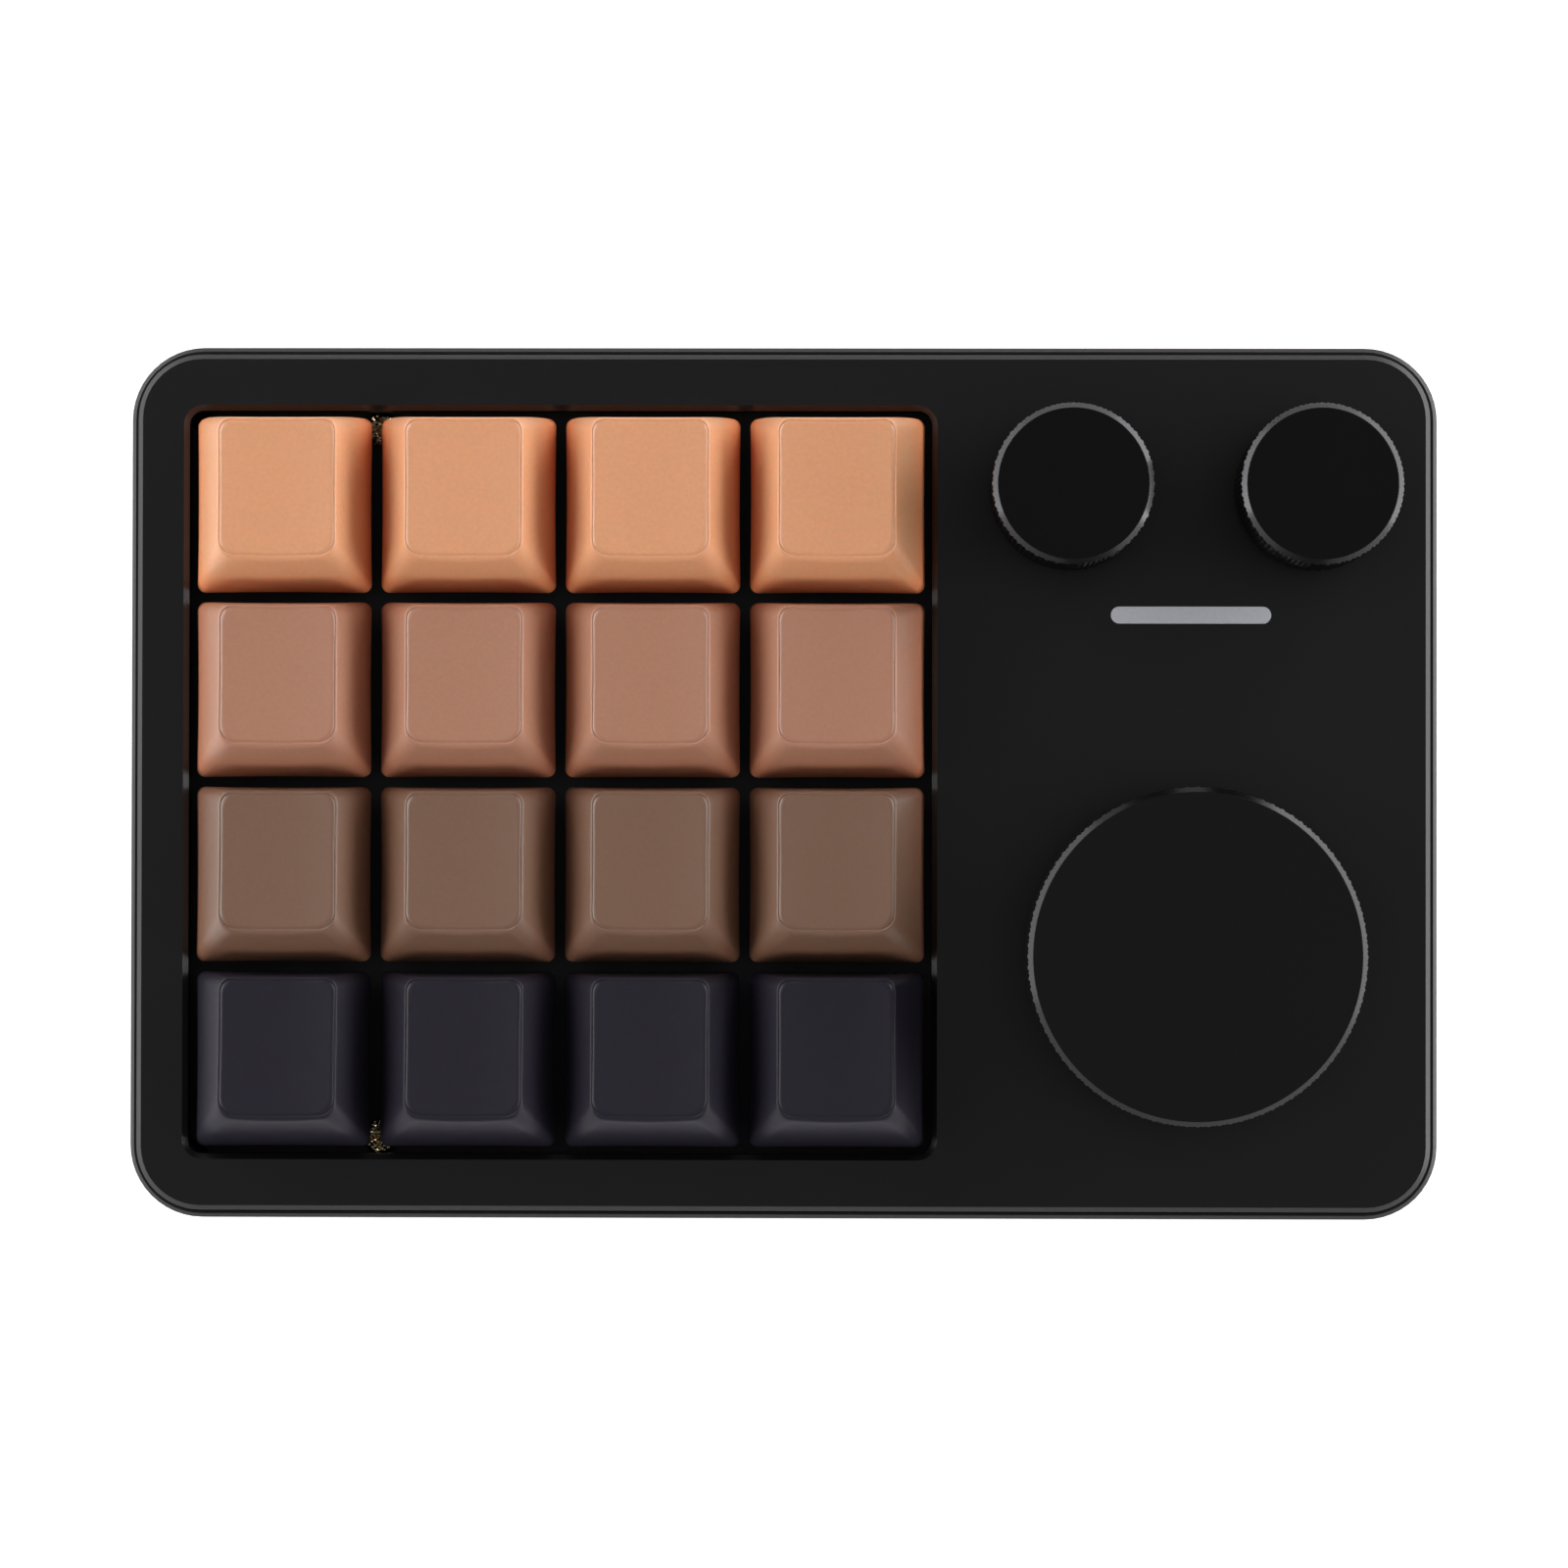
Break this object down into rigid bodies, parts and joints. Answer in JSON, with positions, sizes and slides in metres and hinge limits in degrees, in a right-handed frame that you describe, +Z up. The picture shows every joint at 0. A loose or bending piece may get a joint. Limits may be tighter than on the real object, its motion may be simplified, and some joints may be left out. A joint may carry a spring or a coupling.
{
  "type": "macro keypad with knobs",
  "caption": "Rectangular black desk keypad: a square field of dished square keys at the left, a large knob, two small knobs and a light bar at the right.",
  "frame": {"origin": "middle of the case footprint, level with the underside of the rubber feet", "axes": "+X to the user's right along the case, +Y away from the user, +Z up out of the keys"},
  "size_m": [0.135, 0.09, 0.036],
  "materials": {
    "case_anodised": "fine satin black anodised",
    "knob_anodised": "fine satin black anodised, cut edge polished",
    "light_bar": "milky diffusing plastic",
    "plate_black": "black",
    "screw_brass": "brass-plated",
    "standoff_brass": "turned",
    "board": "black solder mask",
    "chip": "moulded",
    "led": "clear resin on white",
    "socket_steel": "drawn shell",
    "screw_black": "blackened",
    "rubber": "matt",
    "housing_upper": "moulded",
    "housing_lower": "moulded",
    "spring_steel": "bright wire",
    "contact_gold": "plated strip",
    "hot_swap": "moulded",
    "encoder_base": "moulded",
    "encoder_metal": "stamped and turned",
    "shaft_metal": "turned",
    "plunger": "moulded",
    "stem": "moulded",
    "keycap_row_1": "fine matt texture, peach",
    "keycap_row_2": "fine matt texture, rosy brown",
    "keycap_row_3": "fine matt texture, brown",
    "keycap_row_4": "fine matt texture, near-black violet"
  },
  "bodies": {
    "case": {"top_case": "case_anodised", "bottom_case": "case_anodised", "light_bar": "light_bar", "switch_plate": "plate_black", "plate_screws": "screw_brass", "plate_standoffs": "standoff_brass", "pcb": "board", "controller_chip": "chip", "bar_leds": "led", "usb_socket": "socket_steel", "case_screws": "screw_black", "rubber_feet": "rubber", "switch_housings_upper": "housing_upper", "switch_housings_lower": "housing_lower", "switch_springs": "spring_steel", "switch_contacts": "contact_gold", "hot_swap_sockets": "hot_swap", "encoder_bodies": "encoder_base", "encoder_frames": "encoder_metal"},
    "key_r1c1": {"keycap_r1c1": "keycap_row_1", "stem_r1c1": "stem"},
    "key_r1c2": {"keycap_r1c2": "keycap_row_1", "stem_r1c2": "stem"},
    "key_r1c3": {"keycap_r1c3": "keycap_row_1", "stem_r1c3": "stem"},
    "key_r1c4": {"keycap_r1c4": "keycap_row_1", "stem_r1c4": "stem"},
    "key_r2c1": {"keycap_r2c1": "keycap_row_2", "stem_r2c1": "stem"},
    "key_r2c2": {"keycap_r2c2": "keycap_row_2", "stem_r2c2": "stem"},
    "key_r2c3": {"keycap_r2c3": "keycap_row_2", "stem_r2c3": "stem"},
    "key_r2c4": {"keycap_r2c4": "keycap_row_2", "stem_r2c4": "stem"},
    "key_r3c1": {"keycap_r3c1": "keycap_row_3", "stem_r3c1": "stem"},
    "key_r3c2": {"keycap_r3c2": "keycap_row_3", "stem_r3c2": "stem"},
    "key_r3c3": {"keycap_r3c3": "keycap_row_3", "stem_r3c3": "stem"},
    "key_r3c4": {"keycap_r3c4": "keycap_row_3", "stem_r3c4": "stem"},
    "key_r4c1": {"keycap_r4c1": "keycap_row_4", "stem_r4c1": "stem"},
    "key_r4c2": {"keycap_r4c2": "keycap_row_4", "stem_r4c2": "stem"},
    "key_r4c3": {"keycap_r4c3": "keycap_row_4", "stem_r4c3": "stem"},
    "key_r4c4": {"keycap_r4c4": "keycap_row_4", "stem_r4c4": "stem"},
    "plunger_left": {"push_plunger_left": "plunger"},
    "knob_left": {"knob_left": "knob_anodised", "shaft_left": "shaft_metal"},
    "plunger_right": {"push_plunger_right": "plunger"},
    "knob_right": {"knob_right": "knob_anodised", "shaft_right": "shaft_metal"},
    "plunger_main": {"push_plunger_main": "plunger"},
    "knob_main": {"knob_main": "knob_anodised", "shaft_main": "shaft_metal"}
  },
  "joints": [
    {"name": "key_r1c1_press", "type": "slide", "parent": "case", "child": "key_r1c1", "axis": [0, 0, -1], "range_m": [0, 0.004], "stiffness_N_per_m": 90, "springref_m": -0.0035, "deforming": ["switch_springs"]},
    {"name": "key_r1c2_press", "type": "slide", "parent": "case", "child": "key_r1c2", "axis": [0, 0, -1], "range_m": [0, 0.004], "stiffness_N_per_m": 90, "springref_m": -0.0035, "deforming": ["switch_springs"]},
    {"name": "key_r1c3_press", "type": "slide", "parent": "case", "child": "key_r1c3", "axis": [0, 0, -1], "range_m": [0, 0.004], "stiffness_N_per_m": 90, "springref_m": -0.0035, "deforming": ["switch_springs"]},
    {"name": "key_r1c4_press", "type": "slide", "parent": "case", "child": "key_r1c4", "axis": [0, 0, -1], "range_m": [0, 0.004], "stiffness_N_per_m": 90, "springref_m": -0.0035, "deforming": ["switch_springs"]},
    {"name": "key_r2c1_press", "type": "slide", "parent": "case", "child": "key_r2c1", "axis": [0, 0, -1], "range_m": [0, 0.004], "stiffness_N_per_m": 90, "springref_m": -0.0035, "deforming": ["switch_springs"]},
    {"name": "key_r2c2_press", "type": "slide", "parent": "case", "child": "key_r2c2", "axis": [0, 0, -1], "range_m": [0, 0.004], "stiffness_N_per_m": 90, "springref_m": -0.0035, "deforming": ["switch_springs"]},
    {"name": "key_r2c3_press", "type": "slide", "parent": "case", "child": "key_r2c3", "axis": [0, 0, -1], "range_m": [0, 0.004], "stiffness_N_per_m": 90, "springref_m": -0.0035, "deforming": ["switch_springs"]},
    {"name": "key_r2c4_press", "type": "slide", "parent": "case", "child": "key_r2c4", "axis": [0, 0, -1], "range_m": [0, 0.004], "stiffness_N_per_m": 90, "springref_m": -0.0035, "deforming": ["switch_springs"]},
    {"name": "key_r3c1_press", "type": "slide", "parent": "case", "child": "key_r3c1", "axis": [0, 0, -1], "range_m": [0, 0.004], "stiffness_N_per_m": 90, "springref_m": -0.0035, "deforming": ["switch_springs"]},
    {"name": "key_r3c2_press", "type": "slide", "parent": "case", "child": "key_r3c2", "axis": [0, 0, -1], "range_m": [0, 0.004], "stiffness_N_per_m": 90, "springref_m": -0.0035, "deforming": ["switch_springs"]},
    {"name": "key_r3c3_press", "type": "slide", "parent": "case", "child": "key_r3c3", "axis": [0, 0, -1], "range_m": [0, 0.004], "stiffness_N_per_m": 90, "springref_m": -0.0035, "deforming": ["switch_springs"]},
    {"name": "key_r3c4_press", "type": "slide", "parent": "case", "child": "key_r3c4", "axis": [0, 0, -1], "range_m": [0, 0.004], "stiffness_N_per_m": 90, "springref_m": -0.0035, "deforming": ["switch_springs"]},
    {"name": "key_r4c1_press", "type": "slide", "parent": "case", "child": "key_r4c1", "axis": [0, 0, -1], "range_m": [0, 0.004], "stiffness_N_per_m": 90, "springref_m": -0.0035, "deforming": ["switch_springs"]},
    {"name": "key_r4c2_press", "type": "slide", "parent": "case", "child": "key_r4c2", "axis": [0, 0, -1], "range_m": [0, 0.004], "stiffness_N_per_m": 90, "springref_m": -0.0035, "deforming": ["switch_springs"]},
    {"name": "key_r4c3_press", "type": "slide", "parent": "case", "child": "key_r4c3", "axis": [0, 0, -1], "range_m": [0, 0.004], "stiffness_N_per_m": 90, "springref_m": -0.0035, "deforming": ["switch_springs"]},
    {"name": "key_r4c4_press", "type": "slide", "parent": "case", "child": "key_r4c4", "axis": [0, 0, -1], "range_m": [0, 0.004], "stiffness_N_per_m": 90, "springref_m": -0.0035, "deforming": ["switch_springs"]},
    {"name": "knob_left_push", "type": "slide", "parent": "case", "child": "plunger_left", "axis": [0, 0, -1], "range_m": [0, 0.0005], "stiffness_N_per_m": 4000, "springref_m": -0.0005},
    {"name": "knob_left_turn", "type": "hinge", "parent": "plunger_left", "child": "knob_left", "pos_m": [0.02945, 0.03, 0.0232], "axis": [0, 0, -1], "continuous": true},
    {"name": "knob_right_push", "type": "slide", "parent": "case", "child": "plunger_right", "axis": [0, 0, -1], "range_m": [0, 0.0005], "stiffness_N_per_m": 4000, "springref_m": -0.0005},
    {"name": "knob_right_turn", "type": "hinge", "parent": "plunger_right", "child": "knob_right", "pos_m": [0.05455, 0.03, 0.0232], "axis": [0, 0, -1], "continuous": true},
    {"name": "knob_main_push", "type": "slide", "parent": "case", "child": "plunger_main", "axis": [0, 0, -1], "range_m": [0, 0.0005], "stiffness_N_per_m": 4000, "springref_m": -0.0005},
    {"name": "knob_main_turn", "type": "hinge", "parent": "plunger_main", "child": "knob_main", "pos_m": [0.042, -0.0177, 0.0232], "axis": [0, 0, -1], "continuous": true}
  ]
}
